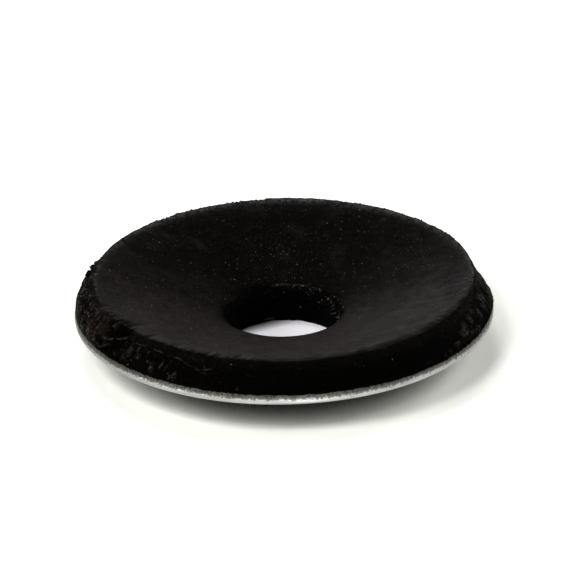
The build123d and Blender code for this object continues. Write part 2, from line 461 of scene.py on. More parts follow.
# Single lumps and tears: angle, drop, half width, half height, how far out, and how pale.
tears = (
    (214.6, 0.62, 0.75, 0.42, -0.62, 0), (218.2, 0.4, 0.5, 0.24, -0.3, 0), (212.6, 1.62, 0.36, 0.5, -0.16, 0),
    (194.6, 1.34, 0.16, 0.09, 0.12, 0.6), (196.8, 1.12, 0.18, 0.08, 0.14, 0.8),
    (199.2, 1.02, 0.2, 0.07, 0.12, 0.7), (201.6, 0.86, 0.16, 0.08, 0.12, 0.6),
    (203.6, 0.76, 0.14, 0.1, 0.14, 0.8), (205.6, 0.84, 0.12, 0.1, 0.12, 0.7),
    (206.6, 1.08, 0.09, 0.14, 0.12, 0.6), (205.6, 1.36, 0.1, 0.12, 0.12, 0.6),
    (206.8, 1.62, 0.08, 0.12, 0.1, 0.5), (198.4, 1.5, 0.2, 0.1, 0.1, 0.3),
    (201.8, 1.34, 0.16, 0.16, 0.1, 0.25), (199.4, 0.72, 0.3, 0.12, -0.14, 0),
    (204.4, 1.08, 0.2, 0.16, -0.14, 0), (208.2, 0.8, 0.16, 0.3, -0.12, 0), (195.2, 0.6, 0.16, 0.4, -0.1, 0),
    (210.6, 0.5, 0.1, 0.09, 0.16, 1), (211.6, 0.66, 0.07, 0.1, 0.15, 0.9),
    (210.4, 0.98, 0.1, 0.12, 0.12, 0.7), (211.3, 0.42, 0.12, 0.06, 0.12, 0.6), (210, 0.7, 0.1, 0.1, 0.1, 0.3),
    (221.2, 1.3, 0.22, 0.8, 0.2, 0.25), (219.6, 1.8, 0.14, 0.5, 0.13, 0.2),
    (223.6, 1.05, 0.15, 0.3, 0.15, 0.3), (225.8, 0.92, 0.13, 0.18, 0.14, 0.35),
    (227.4, 1.12, 0.1, 0.22, 0.12, 0.4), (224.6, 1.62, 0.26, 0.22, 0.16, 0.35),
    (228.9, 1.68, 0.1, 0.09, 0.17, 0.9), (230.8, 1.98, 0.2, 0.36, 0.17, 0.5),
    (233.4, 1.72, 0.1, 0.42, 0.14, 0.45), (235.2, 1.62, 0.08, 0.36, 0.12, 0.4),
    (238.6, 2.12, 0.12, 0.32, 0.16, 0.55), (237.2, 2.24, 0.09, 0.2, 0.12, 0.4),
    (217.6, 1.62, 0.1, 0.09, 0.14, 0.6), (218.6, 1.82, 0.08, 0.08, 0.12, 0.5),
    (220.3, 2.15, 0.2, 0.14, 0.1, 0.2), (216.2, 2.2, 0.22, 0.12, 0.08, 0.2), (253, 0.9, 0.25, 0.2, -0.08, 0),
    (246.4, 1.46, 0.3, 0.08, 0.06, 0.3), (257, 2.3, 0.1, 0.08, 0.06, 0.5), (349, 0.5, 1.1, 0.32, -0.16, 0),
    (354, 1.15, 0.35, 0.5, -0.12, 0), (342, 0.75, 0.8, 0.3, -0.08, 0), (348.6, 1.16, 0.4, 0.34, 0.13, 1),
    (347.9, 1.28, 0.12, 0.14, -0.2, 0), (346.4, 1.62, 0.3, 0.24, 0.09, 0.8),
    (336, 2.3, 0.42, 0.22, 0.08, 0.4), (333, 2.12, 0.3, 0.2, 0.07, 0.35),
    (329.8, 1.72, 0.46, 0.34, 0.09, 0.5), (335.2, 1.28, 0.3, 0.34, 0.08, 0.6),
    (338.9, 1.05, 0.22, 0.24, 0.08, 0.6), (331.5, 1.3, 0.3, 0.2, 0.07, 0.35),
    (341.6, 1.6, 0.24, 0.34, 0.07, 0.5), (357, 2.15, 0.3, 0.34, 0.08, 0.8), (1.5, 2.1, 0.4, 0.3, 0.06, 0.9),
    (355.6, 1.75, 0.2, 0.24, 0.08, 0.6), (4, 1.7, 0.4, 0.5, 0.04, 0.8), (356.2, 0.62, 0.34, 0.16, 0.1, 0.9),
    (1, 0.45, 0.3, 0.2, 0.08, 1), (4, 0.9, 0.5, 0.4, 0, 0.7), (324.8, 2.1, 0.3, 0.14, 0.05, 0.6),
    (321, 2.25, 0.14, 0.14, 0.1, 0.6), (319, 2.35, 0.1, 0.1, 0.08, 0.4), (312, 2.3, 0.3, 0.06, 0.05, 0.3),
    (330.4, 2.32, 0.2, 0.06, 0.05, 0.3), (20, 1.4, 0.5, 0.3, 0.06, 0.1), (46, 2, 0.4, 0.2, 0.05, 0.2),
    (75, 1, 0.5, 0.3, -0.07, 0), (92, 1.7, 0.3, 0.4, 0.05, 0.15), (118, 1.6, 0.6, 0.25, 0.06, 0.1),
    (146, 1.1, 0.4, 0.4, -0.08, 0), (151, 1.9, 0.2, 0.3, 0.07, 0.2),
)

# The upper rim is rounded by wear, more in front, and torn away in places: angle, half width, size.
rim_wear = by_angle((
    (0, 0.1), (30, 0.08), (60, 0.08), (90, 0.06), (120, 0.08), (150, 0.08), (165, 0.12), (200, 0.24),
    (206, 0.34), (212, 0.5), (220, 0.46), (228, 0.42), (245, 0.52), (258, 0.6), (270, 0.76), (300, 0.76),
    (322, 0.6), (340, 0.26), (350, 0.18),
), 0.02, 0.6, 23)
rim_chips = (
    (4, 0.5, 0.12), (10, 0.4, 0.1), (345, 0.6, 0.1), (38, 0.5, 0.12), (97, 0.4, 0.08), (128, 0.5, 0.12),
    (174, 0.7, 0.1), (200, 0.6, 0.12), (215.5, 0.9, 0.34), (225, 0.6, 0.12), (236, 0.5, 0.08),
    (291, 0.5, 0.1),
)
for chip_angle, half_width, size in rim_chips:
    away = np.radians(degrees_from(chip_angle, seal_degrees)) * face_radius
    rim_wear = rim_wear + size * fading(away, half_width)
rim_wear += 0.12 * np.clip(rim_wear - 0.1, 0, 0.4) * grain(seal_rim, 0.8, 24)
rim_wear += 0.05 * grain(seal_rim, 0.3, 51)
rim_wear = np.clip(rim_wear, 0.05, 0.9)
# How much paler the face is along the rim, by angle: most at the back.
rim_paling = by_angle((
    (0, 0.3), (25, 0.5), (50, 1), (130, 1), (155, 0.6), (180, 0.15), (200, 0), (340, 0),
))
# Painted light: the rim between wall and face is painted paler at the right and the back, to the tone of the
# face.
rim_painted_light = by_angle((
    (0, 0.8), (30, 0.85), (60, 0.7), (130, 0.7), (155, 0.5), (185, 0.1), (200, 0), (340, 0),
))
rim_roll = rim_wear * by_angle((
    (0, 1), (40, 1.2), (140, 1.2), (180, 1.6), (215, 2), (240, 2.8), (262, 2.3), (300, 2.1), (325, 2.2),
    (338, 2.4), (352, 1),
))

# Pits like foam in the swell: angle, half width, drop, half height, and how deep.
foam_spots = ((188, 9, 1.3, 0.55, 1), (172, 7, 0.75, 0.6, 0.9))
mm_per_degree = 0.2635      # along the wall, halfway up
wall_circle = 15.1          # radius that the lumps' widths are measured on
# Painted light: the top of the wall at the right is painted paler.
right_wall_painted_light = by_angle(((350, 0.2), (2, 0.75), (32, 0.75), (45, 0.25), (60, 0.1), (120, 0.1), (150, 0)))
ridge_fray = by_angle(((200, 0.9), (219, 0.8), (226, 0.5), (236, 0.75), (246, 0.6), (256, 0.3)))


def wall_relief(drop):
    """How far each point of the wall stands off the straight cut, how torn and how pale it is, with painted
    shade and light.
    """
    base = around(seal_angle, face_radius + drop * down_wall[0], face_height + drop * down_wall[1])
    from_ridge = drop - ridge_drop
    shelf = -shelf_depth * np.sin(pi * np.clip(drop / ridge_drop, 0, 1)) ** 0.8 * (from_ridge < 0)
    under = np.clip(from_ridge, 0, None)
    hollow = -undercut_depth * ease(under, 0, 0.12) * (1 - ease(under, 0.45, 1.25)) * (from_ridge > 0)
    crest = crest_height * fading(from_ridge, np.where(from_ridge < 0, 0.1, 0.045))

    # The swell, the bulge at the right and the flare of the rim
    side = by_drop(drop, swell_side) + 0.5 * grain(base, 0.4, 44)
    from_side = (side - seal_degrees) * mm_per_degree
    inside = ease(from_side, -0.1, 0.12) * (seal_degrees > 150)
    profile = by_drop(drop, swell_drop) * (1 - start_share) + by_drop(drop, swell_start) * start_share
    reach = swell_reach * profile * inside
    bulge = bulge_reach * by_drop(drop, bulge_drop) + flare * np.exp(-drop / 0.5)
    in_swell = np.clip(reach / 0.22, 0, 1)

    # Pits and threads of the foam, and the folds round it
    foam = 0
    for middle, half_width, middle_drop, half_height, depth in foam_spots:
        spot = np.exp(-((seal_degrees - middle) / half_width) ** 4
                      - ((drop - middle_drop) / half_height) ** 4)
        foam = np.maximum(foam, depth * spot)
    foam = in_swell * foam
    cells = pebbles(base + 0.1 * grain(base, 0.3, 52)[..., None], 0.44, 26)
    pits = ease(cells, 0.25, 0.6)
    threads = 1 - ease(cells, 0.05, 0.35)
    folded = grain(base, 0.42, 53, 0.5)
    # The pits get less torn colour, so they are painted darker as painted shade.
    torn_and_pit_shade = in_swell * (0.55 + 0.65 * folded - 0.6 * foam * pits)

    # Paler where frayed along the ridge and at the edge of the tongue, with painted glints on the threads of
    # the foam and painted light under the rim at the right
    ridge_edge = np.clip(crest_height / 0.08, 0, 1) * fading(from_ridge, 0.05)
    tongue_edge = fading(from_side - 0.03, 0.05) * ease(drop, 1.7, 2.1) * (1 - ease(drop, 2.45, 2.55))
    paleness_and_painted_light = np.maximum.reduce([
        ridge_edge * ease(grain(base, 0.55, 45), -0.45, 0.35) * ridge_fray,
        0.55 * tongue_edge * (seal_degrees > 150),
        0.8 * foam * threads * ease(grain(base, 0.3, 54), -0.3, 0.6),
        right_wall_painted_light * fading(drop, 0.8) * (0.6 + 0.4 * grain(base, 0.5, 68)),
    ])

    single = 0
    flaky = 0.45 + 0.75 * pebbles(base, 0.17, 50)
    flecked = flaky * ease(grain(base, 0.14, 67), -0.25, 0.35)
    for tear_angle, tear_drop, half_width, half_height, amount, pale in tears:
        off = np.radians(degrees_from(tear_angle, seal_degrees)) * wall_circle
        lump = np.exp(-(np.abs(off / half_width) ** 2.5) - np.abs((drop - tear_drop) / half_height) ** 2.5)
        single = single + amount * lump * flaky
        torn_and_pit_shade = np.maximum(torn_and_pit_shade, lump * 0.5 * (amount > 0))
        paleness_and_painted_light = np.maximum(paleness_and_painted_light, lump * pale * flecked * 1.3)
    pocket = np.clip(-single / 0.25, 0, 1)
    ripped = np.clip(undercut_depth / 0.25, 0, 1) * ease(drop, 0.05, 0.3) * (1 - pocket)
    torn_and_pit_shade = np.maximum(torn_and_pit_shade, ripped * 0.05)

    # Finer forms: lobes where the rubber swelled, folds where it ripped, and the plain cut elsewhere
    loose = ease(drop, 0.02, 0.2) * (1 - 0.8 * ease(drop, wall_length - 0.2, wall_length))
    lobes = 0.05 * grain(base, 0.7, 25, 0.6) + 0.11 * folded - 0.04
    crumbly = lobes + foam * (0.06 * threads - 0.24 * pits)
    folds = 0.035 * grain(base, 0.24, 28, 0.25)
    folds += 0.03 * pebbles(base * np.array([1, 1, 0.5]), 0.15, 29)
    plain = 0.022 * grain(base, 1.3, 30, 0.6)
    plain += 0.010 * grain(base, 0.32, 31, 0.5)
    relief = reach + bulge + shelf + hollow + crest + single + plain
    relief = relief + loose * (crumbly * np.clip(in_swell + bulge_reach, 0, 1) + folds * ripped)
    droop = 0.09 * np.clip(crest_height / 0.1, 0, 1) * fading(from_ridge - 0.01, 0.09)
    return relief, torn_and_pit_shade, paleness_and_painted_light, droop


# Each row's torn value carries painted shade in the foam's pits, and its frayed value carries painted light
# and glints.
rows = []          # each row: radius, height, torn, frayed


def add_row(radius, height, torn_and_pit_shade=0, paleness_and_painted_light=0):
    """Adds the seal's next row: a ring, or a place for each column."""
    rows.append((radius, height, torn_and_pit_shade, paleness_and_painted_light))


# Underside: up the metal's bore and out along the sheet
foot_inset = 0.15
add_row(metal_bore_radius - bond_gap, bore_top[1] + bond_gap)
for t in (0.2, 0.45, 0.7, 0.9, 1):
    radius = metal_bore_radius + (foot_radius - foot_inset - metal_bore_radius) * t
    add_row(radius, sheet_top(radius) + bond_gap)

# Flash: the wall's foot laps over the edge of the sheet and hangs down it, raggedly
flash_drop = by_angle((
    (0, 0.16), (20, 0.12), (60, 0.1), (150, 0.12), (166, 0.2), (174, 0.42), (188, 0.4), (196, 0.24),
    (207, 0.17), (230, 0.13), (270, 0.14), (300, 0.18), (330, 0.2),
), 0.035, 0.45, 47)
flash_drop = np.clip(flash_drop + 0.04 * grain(seal_rim, 0.13, 48), 0.02, 0.5)
corner_inset, tip_inset, tip_out, tip_lift = 0.03, 0.035, 0.012, 0.02
edge_along = sheet_length - fracture_setback * (1 - flash_drop / (sheet_thickness - burnish_height))
hang_outside = on_sheet(edge_along + tip_out, sheet_thickness - flash_drop + tip_lift)
add_row(*on_sheet(sheet_length - fracture_setback - corner_inset, sheet_thickness + bond_gap))
add_row(*on_sheet(edge_along - tip_inset, sheet_thickness - flash_drop))
add_row(np.minimum(hang_outside[0], outer_limit), hang_outside[1], 0.3)

# Wall: up from the foot to the ridge, then from the ridge to the rim. Its lowest rows lap over the foot.
first_wall_row = len(rows)
wear_end = np.minimum(rim_wear, 0.45 * ridge_drop)
below = 1 - np.linspace(0, 1, 28)[:, None] ** 0.8
above = (1 - np.linspace(0, 1, 17)[1:, None]) ** 1.2
drop = np.concatenate([ridge_drop + (wall_length - ridge_drop) * below,
                       wear_end + (ridge_drop - wear_end) * above])
relief, torn_and_pit_shade, paleness_and_painted_light, droop = wall_relief(drop)
relief[0] = np.maximum(relief[0], -0.02)
relief[:3] += np.array([0.1, 0.06, 0.025])[:, None]
wall_radius = face_radius + (drop + droop) * down_wall[0] + relief * off_wall[0]
wall_height = face_height + (drop + droop) * down_wall[1] + relief * off_wall[1]
wall_height = np.maximum(wall_height, sheet_top(wall_radius) + bond_gap)
wall_radius = np.minimum(wall_radius, outer_limit)
for row in zip(wall_radius, wall_height, torn_and_pit_shade, paleness_and_painted_light):
    add_row(*row)
last_wall_row = len(rows)

# Rim: a worn corner between the wall and the face
wall_end, last_torn_and_pit_shade, last_paleness_and_painted_light = np.array(rows[-1][:2]), *rows[-1][2:]
face_end = rim[:, None] - face_out[:, None] * rim_roll
corner = rim[:, None] - 0.2 * (face_out - down_wall)[:, None] * rim_wear
chewed = by_angle(((196, 0), (210, 0.05), (262, 0.05), (310, 0.035), (335, 0)))
for share in np.linspace(0, 1, 9)[1:-1]:
    radius, height = curved(wall_end, corner, face_end, share)
    spot = around(seal_angle, radius, height)
    bite = chewed * sin(pi * share) * (grain(spot, 0.6, 70) + 0.6 * grain(spot, 0.28, 71) - 0.3)
    # Paleness from the top of the wall fades out, and the rim's painted light grows towards the face.
    paleness_and_painted_light = np.maximum(last_paleness_and_painted_light * (1 - share), rim_painted_light * share ** 0.5)
    add_row(radius, height + bite, last_torn_and_pit_shade * (1 - share), paleness_and_painted_light)
first_face_row = len(rows)

# Face: smooth skin with faint hollows from the mould and handling. Its lip is rolled wider at one side.
lip_round = by_angle(((60, 0.9), (110, 1.15), (150, 1.6), (205, 1.5), (240, 1), (300, 0.9)))
lip_begin = seal_bore_radius + lip_round * (1 - sin(face_slope))
back_streak_paling = by_angle(((30, 0), (60, 0.12), (90, 0.14), (120, 0.12), (150, 0)))
for t in np.linspace(0, 1, 31) ** 1.4:
    radius = (face_radius - rim_roll * cos(face_slope)) * (1 - t) + (lip_begin + 0.02) * t
    spot = around(seal_angle, radius, 0)
    fade = min(1, 12 * t) * min(1, 8 * (1 - t))
    lift = 0.03 * grain(spot, 3.4, 34) + 0.022 * grain(spot, 1.1, 35) + 0.004 * grain(spot, 0.45, 36)
    from_rim = (face_radius - radius) / cos(face_slope)
    # The face is paler near the rim at the right and back, and in broad streaks at the back.
    face_paling = rim_paling * fading(from_rim, 0.42) + back_streak_paling * fading(from_rim, 1.2)
    face_paling = face_paling * (0.8 + 0.2 * grain(spot, 0.9, 49))
    add_row(radius, face_at(radius) + fade * lift, 0, face_paling)

# Lip: rolls down into the bore. The skin ends along a ragged line, where t is 1, and the cut follows.
lip_skin_rows = 4
last_skin_row = len(rows) + lip_skin_rows
lip_start_turn = 106.8      # degrees, square to the face
lip_middle = np.array([seal_bore_radius + lip_round, face_at(lip_begin) - lip_round * cos(face_slope)])
lip_ring = around(seal_angle, 4.6, 0)
ragged_lip = by_angle((
    (0, 0.6), (15, 1), (60, 1), (98, 0.9), (108, 0.25), (150, 0.15), (200, 0.15), (300, 0.2), (340, 0.4),
))
lip_break = by_angle((
    (0, 126), (100, 126), (120, 136), (150, 138), (170, 130), (190, 128), (205, 140), (225, 162), (250, 166),
    (340, 130),
))
lip_break = lip_break + 4 * grain(lip_ring, 0.5, 37) + 3 * grain(lip_ring, 0.17, 38)
lip_fray = np.clip(ragged_lip * 2 - 1, 0, 1)
for t in (0.25, 0.5, 0.75, 0.92, 1, 1.08, 1.3, 1.6, 2, 2.5, 3):
    turn = lip_break + (180 - lip_break) * (t - 1) / 2
    if t <= 1:
        turn = lip_start_turn + (lip_break - lip_start_turn) * t
    outward, upward = np.cos(np.radians(turn)), np.sin(np.radians(turn))
    size = lip_round + 0.03 * ragged_lip * fading(t - 1, 0.1)
    cut = 0.05 * ragged_lip * ease(t, 1, 1.12) * (1 - ease(t, 2, 3))
    spot = around(seal_angle, lip_middle[0] + size * outward, lip_middle[1] + size * upward)
    rough = (0.02 * grain(spot, 0.3, 39) + 0.015 * grain(spot, 0.14, 40)) * ease(t, 0.9, 1.2)
    paleness_and_painted_light = lip_fray * fading(t - 1.02, 0.09) * ease(grain(spot, 0.4, 41), -0.5, 0.4)
    paleness_and_painted_light = paleness_and_painted_light * (0.35 + 0.65 * pebbles(spot, 0.22, 65))
    size, torn_and_pit_shade = size - cut + rough, 0.06 * ease(t, 0.95, 1.2)
    add_row(lip_middle[0] + size * outward, lip_middle[1] + size * upward, torn_and_pit_shade, paleness_and_painted_light)

# Bore: the cut lining, down to its ragged end
bore_ring = around(seal_angle, seal_bore_radius, 0)
ragged_end = lining_end + 0.03 * grain(bore_ring, 0.35, 32) + 0.02 * grain(bore_ring, 0.12, 33)
ragged_end += by_angle((
    (66, 0), (71, 0.05), (74, 0.14), (78, 0.12), (80, 0), (83, 0.05), (87, 0.1), (90, 0.02), (97, 0.03),
    (100, 0.24), (109, 0.28), (113, 0.18), (120, 0.14), (130, 0.1), (140, 0),
))
ragged_end = np.clip(ragged_end, 0.02, 0.45)
for t in np.linspace(0, 1, 17)[1:]:
    height = lip_middle[1] * (1 - t) + ragged_end * t
    spot = around(seal_angle, seal_bore_radius, height)
    rough = 0.025 * grain(spot, 0.4, 42) + 0.018 * grain(spot, 0.16, 43)
    add_row(seal_bore_radius + rough, height, 0.04)
add_row(metal_bore_radius - 0.05, ragged_end, 0.1)
add_row(metal_bore_radius - bond_gap, ragged_end + 0.01, 0.1)

# Pale smears on the face, laid as painted sheen: on the left, front and right, none at the back, thinning out
# as painted shade near the bore and along the rim in front
seal_radius, seal_height, seal_torn_and_pit_shade, seal_paleness_and_painted_light = grids(rows, seal_columns)
seal_points = around(seal_angle, seal_radius, seal_height)
smears_and_painted_sheen = by_angle((
    (0, 0.8), (20, 0.45), (45, 0.1), (75, 0), (135, 0), (160, 0.15), (180, 0.6), (200, 1), (345, 1),
))
front_rim_painted_shade = by_angle((
    (215, 0), (230, 0.9), (252, 0.8), (268, 0.4), (284, 0.5), (300, 0.9), (318, 0.3), (335, 0),
))
smears_and_painted_sheen = smears_and_painted_sheen * ease(seal_radius, 4.6, 6.6) * (0.75 + 0.25 * grain(seal_points, 1.6, 66))
smears_and_painted_sheen = smears_and_painted_sheen * (1 - front_rim_painted_shade * ease(seal_radius + 0.4 * grain(seal_points, 0.6, 72), 12.9, 14.3))
seal_masks = {"torn_and_pit_shade": seal_torn_and_pit_shade, "paleness_and_painted_light": seal_paleness_and_painted_light, "smears_and_painted_sheen": smears_and_painted_sheen}
seal_rubber = turned_mesh("seal_rubber", seal_points, seal_masks)

# Skin from partway over the worn rim to the ragged line on the lip, and cut rubber elsewhere
cut_rim_rows = 3
row_number = np.arange(len(rows))
in_skin = (row_number >= last_wall_row + cut_rim_rows) & (row_number < last_skin_row)
finish_index = np.repeat(np.where(in_skin, 0, 1), seal_columns).astype(np.int32)
seal_rubber.data.polygons.foreach_set("material_index", finish_index)

# Dust held by rubber, used on the skin and on the cut: small pale flecks, thicker in drifts.
dust, given, ending = fresh_group("dust", {"Fleck": 0.00012, "Amount": 0.3, "Drift": 0.004}, "Flecks")
place = object_place(dust)
cell_size = times(given["Fleck"], 3)
drift = ramp(noise(place, sums("DIVIDE", 1, given["Drift"]), 3), 0.35, 0.7)
bare = sums("SUBTRACT", 1, times(given["Amount"], drift))
all_flecks = 0.0
for turn, stretch, share in ((0.3, 0.45, 1), (1.9, 0.6, 0.55)):
    turned = stretched(place, (1, stretch, 1), (0.2, 0.1, turn))
    fineness = sums("DIVIDE", share, cell_size)
    cells = wire("ShaderNodeTexVoronoi", {"Vector": turned, "Scale": fineness})
    chance, width, paleness = wire("ShaderNodeSeparateColor", {0: cells["Color"]})
    radius = ramp(width, 0, 1, 0.1, 0.34)
    fleck = ramp(cells["Distance"], radius, times(radius, 0.5))
    fleck = times(fleck, sums("GREATER_THAN", chance, bare))
    fleck = times(fleck, ramp(paleness, 0, 1, 0.25, 1))
    all_flecks = sums("MAXIMUM", all_flecks, fleck)
plug(ending, {0: all_flecks})

skin_finish, tree, shader, place = finish_for("moulded_rubber_skin")
paleness_and_painted_light = carried(tree, "paleness_and_painted_light")
smears_and_painted_sheen = carried(tree, "smears_and_painted_sheen")
mottle = noise(place, 240, 5, Roughness=0.6)
tint = noise(place, 90)
pores = noise(place, 11000, 3)
orange_peel = noise(place, 2600, 3)
blotch = noise(place, 800, 3)
smear = noise(place, 420, 6, Roughness=0.72)

# Marks of turning, wiping and handling: noise drawn out round the axis, or from the bore outwards
across = vectors("MULTIPLY", {0: place, 1: (1, 1, 0)})
outward = vectors("NORMALIZE", {0: across})
from_axis = vectors("LENGTH", {0: across})
marks = []
for round_scale, radial_scale in ((0.0014, 1), (0.006, 0.3), (0.0026, 0.75)):
    bearing = vectors("SCALE", {0: outward, "Scale": round_scale})
    lifted = wire("ShaderNodeCombineXYZ", {2: times(from_axis, radial_scale)})[0]
    unrolled = vectors("ADD", {0: bearing, 1: lifted})
    marks.append(noise(unrolled, 3000, 4, Roughness=0.62, Distortion=0.6))
turning, wiping, wavy = marks
scratched = effect(tree, scratches, Spacing=0.0011, Wear=1)
dusty = effect(tree, dust, Fleck=0.00006, Amount=0.15)
warm = blend(ramp(tint, 0.4, 0.62), (0.00006, 0.00005, 0.00004, 1), (0.0003, 0.0002, 0.00015, 1))
colour = blend(ramp(mottle, 0.42, 0.75), warm, (0.0005, 0.0004, 0.0003, 1))
# Painted shade: the smears thin out towards the bore.
patchy_with_bore_shade = times(ramp(blotch, 0.42, 0.6, 0.2, 1.3), ramp(from_axis, 0.0044, 0.0066, 0.1, 1))
speckled = times(ramp(pores, 0.38, 0.62, 0.15, 1), ramp(orange_peel, 0.35, 0.6, 0.3, 1.15))
# Painted sheen: the wavy marks and smears of the second and third entries lie only where the face catches the
# light. The fifth entry carries the rim's painted light.
for share, pale in (
    (times(ramp(smear, 0.51, 0.63, 0, 0.75), patchy_with_bore_shade), (0.0048, 0.0042, 0.0038, 1)),
    (times(smears_and_painted_sheen, ramp(wavy, 0.42, 0.66)), (0.0082, 0.0064, 0.0058, 1)),
    (times(smears_and_painted_sheen, ramp(smear, 0.5, 0.66, 0, 0.6)), (0.009, 0.0078, 0.0072, 1)),
    (times(scratched, 0.3), (0.02, 0.018, 0.016, 1)),
    (times(paleness_and_painted_light, speckled), (0.09, 0.086, 0.082, 1)),
    (times(dusty, 0.22), (0.1, 0.09, 0.08, 1)),
):
    colour = blend(share, colour, pale)
satin = sums("ADD", ramp(mottle, 0.3, 0.7, 0.36, 0.44), ramp(blotch, 0.3, 0.7, -0.06, 0.06))
relief = sums("MULTIPLY_ADD", pores, 0.5, orange_peel)
relief = sums("MULTIPLY_ADD", scratched, -0.4, relief)
relief = sums("MULTIPLY_ADD", dusty, 0.8, relief)
handled = sums("MULTIPLY_ADD", wiping, 0.03, blotch)
handled = sums("MULTIPLY_ADD", wavy, 0.35, handled)
handled = sums("MULTIPLY_ADD", turning, 0.05, handled)
plug(shader, {
    "Base Color": colour,
    "IOR": 1.042,
    "Sheen Weight": 0.014,
    "Sheen Roughness": 0.5,
    "Sheen Tint": (1, 0.62, 0.56, 1),
    "Roughness": sums("SUBTRACT", satin, times(scratched, 0.06)),
    "Normal": bumped(relief, 0.000012, Normal=bumped(handled, 0.00007)),
})

cut_finish, tree, shader, place = finish_for("cut_rubber")
torn_and_pit_shade = carried(tree, "torn_and_pit_shade")
paleness_and_painted_light = carried(tree, "paleness_and_painted_light")
crumb = noise(place, 5200, 4, Roughness=0.65)
patch = noise(place, 800, 4)
dusty = effect(tree, dust, Fleck=0.00005, Amount=0.08, Drift=0.0025)
torn_colour = blend(ramp(crumb, 0.34, 0.7), (0.005, 0.0028, 0.0021, 1), (0.012, 0.0072, 0.006, 1))
# Brown where torn, and darker in the foam's pits as painted shade.
colour = blend(times(torn_and_pit_shade, ramp(patch, 0.25, 0.5)), (0.0004, 0.0003, 0.0002, 1), torn_colour)
# Pale where frayed, with painted glints and painted light where the mask carries them.
colour = blend(times(paleness_and_painted_light, ramp(crumb, 0.38, 0.6, 0.2, 1)), colour, (0.052, 0.047, 0.043, 1))
colour = blend(times(dusty, 0.25), colour, (0.1, 0.088, 0.075, 1))
relief = sums("MULTIPLY_ADD", crumb, sums("MULTIPLY_ADD", torn_and_pit_shade, 0.9, 0.6), times(dusty, 0.5))
plug(shader, {
    "Base Color": colour,
    "IOR": 1.04,
    "Coat Weight": times(torn_and_pit_shade, ramp(crumb, 0.5, 0.68, 0, 0.6)),
    "Coat Roughness": 0.32,
    "Coat IOR": 1.3,
    "Roughness": ramp(crumb, 0.3, 0.7, 0.75, 0.55),
    "Normal": bumped(relief, 0.00002),
})

seal_rubber.data.materials.append(skin_finish)
seal_rubber.data.materials.append(cut_finish)
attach(seal_rubber, "root")
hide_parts("rubber_seal")

# ---- Crumbs, dust and lint ----
# Crumbs of rubber still hang on the torn places and in the bore, where the cutter dragged them loose.
# Fine dust and a few short fibres have settled on the face and stick to it. All of them lie on the
# rubber and are part of its look.
row_degrees = np.degrees(np.arctan2(seal_points[..., 1], seal_points[..., 0])) % 360
row_number = row_number[:, None]
wall_rows = (row_number >= first_wall_row) & (row_number < last_wall_row)
rim_rows = (row_number >= last_wall_row - 2) & (row_number < first_face_row - 1)
face_rows = (row_number >= first_face_row) & (row_number < last_skin_row)
bore_rows = row_number >= last_skin_row
crumb_circle = 15.2         # radius that the crumbs' distances are measured on


def near(middle, half_width):
    """1 at an angle round the axis, fading away from it."""
    return fading(degrees_from(middle, row_degrees), half_width)


def spots(*places):
    """1 at places on the wall, given as angle, height and half width, fading away from them."""
    total = 0
    for middle, height, half_width in places:
        away = np.radians(degrees_from(middle, row_degrees)) * crumb_circle
        total = np.maximum(total, np.exp(-((away ** 2 + (seal_height - height) ** 2) / half_width ** 2)))
    return total


def patches(size, seed, low, high, least):
    """1 in patches of about one size in millimetres, and no less than a value between them."""
    return least + (1 - least) * ease(grain(seal_points, size, seed), low, high)


swell_crumbs = spots(
    (172, 5.5, 0.5), (178, 5.2, 0.4), (184, 5.2, 0.5), (189, 5.1, 0.5), (193.5, 5.1, 0.35), (197, 5.3, 0.22),
    (200.5, 5.4, 0.22), (204, 5.6, 0.22), (206, 5.3, 0.2), (205.5, 4.95, 0.22), (198, 4.85, 0.35),
    (190, 4.5, 0.4),
)
swell_crumbs = 0.65 * swell_crumbs * patches(0.4, 60, -0.1, 0.5, 0.2)
right_crumbs = 0.6 * spots(
    (348, 5, 0.3), (336, 4.1, 0.38), (330, 4.5, 0.3), (335, 4.9, 0.25), (339, 5.1, 0.2), (357, 4.3, 0.5),
    (1, 5.4, 0.35), (4, 4.7, 0.4),
)
ridge_crumbs = spots(
    (217.6, 4.7, 0.16), (218.6, 4.45, 0.15), (229, 4.55, 0.12), (212, 5.6, 0.3), (223, 4.1, 0.3),
    (238, 4.1, 0.2), (321, 4, 0.2), (270, 5.35, 0.07),
)
wall_crumbs = np.maximum(np.maximum(swell_crumbs, right_crumbs), 0.7 * ridge_crumbs) + 0.003
bore_crumbs = np.maximum(near(30, 24) * ease(seal_height, 0.9, 2.3),
                         0.3 * near(-25, 30) * ease(seal_height, 0.4, 0.9))
bore_crumbs = np.maximum(bore_crumbs, 1.4 * near(50, 36) * ease(seal_height, 2.4, 2.7)) + 0.008
bore_crumbs = bore_crumbs * patches(0.45, 62, -0.3, 0.4, 0.3)
rim_crumbs = near(90, 60) * patches(0.8, 63, -0.2, 0.4, 0.4)
where_crumbs = wall_rows * wall_crumbs + bore_rows * bore_crumbs * (seal_height > 0.35)
where_crumbs = where_crumbs + rim_rows * rim_crumbs
axis_distance = np.hypot(seal_points[..., 0], seal_points[..., 1])
back_dust = 0.25 + 0.75 * near(95, 62) * (1 - ease(axis_distance, 10.5, 13.8))
back_dust = back_dust + 0.3 * near(20, 40) + 0.25 * near(165, 40)
where_dust = face_rows * back_dust * patches(1.6, 61, -0.3, 0.5, 0.3)
carry(seal_rubber.data, {"where_crumbs": where_crumbs, "where_dust": where_dust})

